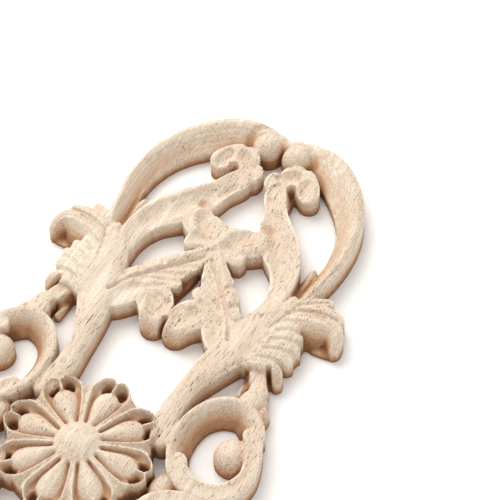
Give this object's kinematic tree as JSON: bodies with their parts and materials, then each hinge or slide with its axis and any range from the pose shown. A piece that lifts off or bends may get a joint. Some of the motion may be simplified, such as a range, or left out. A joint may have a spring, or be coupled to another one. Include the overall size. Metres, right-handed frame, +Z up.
{
  "type": "carved wood applique",
  "caption": "Pierced carved wood onlay: a petalled rosette between mirrored acanthus scrolls, with a flat back for gluing to furniture, a door or a wall.",
  "frame": {"origin": "centre of the flat back, under the middle of the rosette", "axes": "+X along the length, +Y across it, +Z up from the back to the carved face"},
  "size_m": [0.3414, 0.132, 0.014],
  "materials": {
    "raw_rubberwood": "raw, unpainted, matte, with fine pores along the grain"
  },
  "bodies": {
    "root": {"carved_applique": "raw_rubberwood"}
  },
  "joints": []
}
